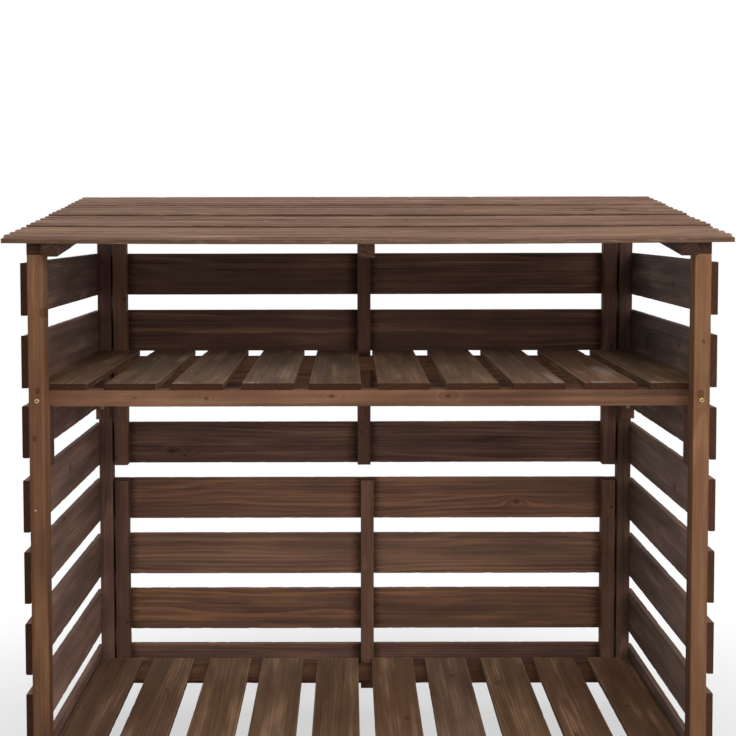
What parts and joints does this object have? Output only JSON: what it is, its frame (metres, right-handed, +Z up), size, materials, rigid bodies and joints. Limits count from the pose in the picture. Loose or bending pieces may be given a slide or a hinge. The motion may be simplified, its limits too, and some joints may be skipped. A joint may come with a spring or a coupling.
{
  "type": "log store",
  "caption": "Free-standing log store of stained softwood with an open front, slatted sides and back, a slatted shelf and floor, and a ridged pent roof.",
  "frame": {"origin": "on the ground, under the middle of the whole store", "axes": "+X along the length to the right as seen from the open front, +Y from the front to the back, +Z up"},
  "size_m": [1.3054, 0.6232, 1.188],
  "materials": {
    "frame_timber": "matt brown wood stain, sawn softwood",
    "wall_slats": "matt dark brown wood stain, sawn softwood",
    "platform_slats": "matt brown wood stain, sawn softwood",
    "roof_boards": "matt brown wood stain, ridged softwood"
  },
  "bodies": {
    "root": {"back_slat_1": "wall_slats", "back_slat_2": "wall_slats", "back_slat_3": "wall_slats", "back_slat_4": "wall_slats", "back_slat_5": "wall_slats", "back_slat_6": "wall_slats", "back_slat_7": "wall_slats", "back_slat_8": "wall_slats", "centre_rafter": "frame_timber", "floor_cleats": "frame_timber", "floor_rails": "frame_timber", "floor_slats": "platform_slats", "left_back_post": "frame_timber", "left_front_post": "frame_timber", "left_rafter": "frame_timber", "left_slat_1": "wall_slats", "left_slat_2": "wall_slats", "left_slat_3": "wall_slats", "left_slat_4": "wall_slats", "left_slat_5": "wall_slats", "left_slat_6": "wall_slats", "left_slat_7": "wall_slats", "left_slat_8": "wall_slats", "left_top_rail": "frame_timber", "lower_back_battens": "frame_timber", "right_back_post": "frame_timber", "right_front_post": "frame_timber", "right_rafter": "frame_timber", "right_slat_1": "wall_slats", "right_slat_2": "wall_slats", "right_slat_3": "wall_slats", "right_slat_4": "wall_slats", "right_slat_5": "wall_slats", "right_slat_6": "wall_slats", "right_slat_7": "wall_slats", "right_slat_8": "wall_slats", "right_top_rail": "frame_timber", "roof_board_1": "roof_boards", "roof_board_2": "roof_boards", "roof_board_3": "roof_boards", "roof_board_4": "roof_boards", "shelf_cleats": "frame_timber", "shelf_rails": "frame_timber", "shelf_slats": "platform_slats", "upper_back_battens": "frame_timber"}
  },
  "joints": []
}
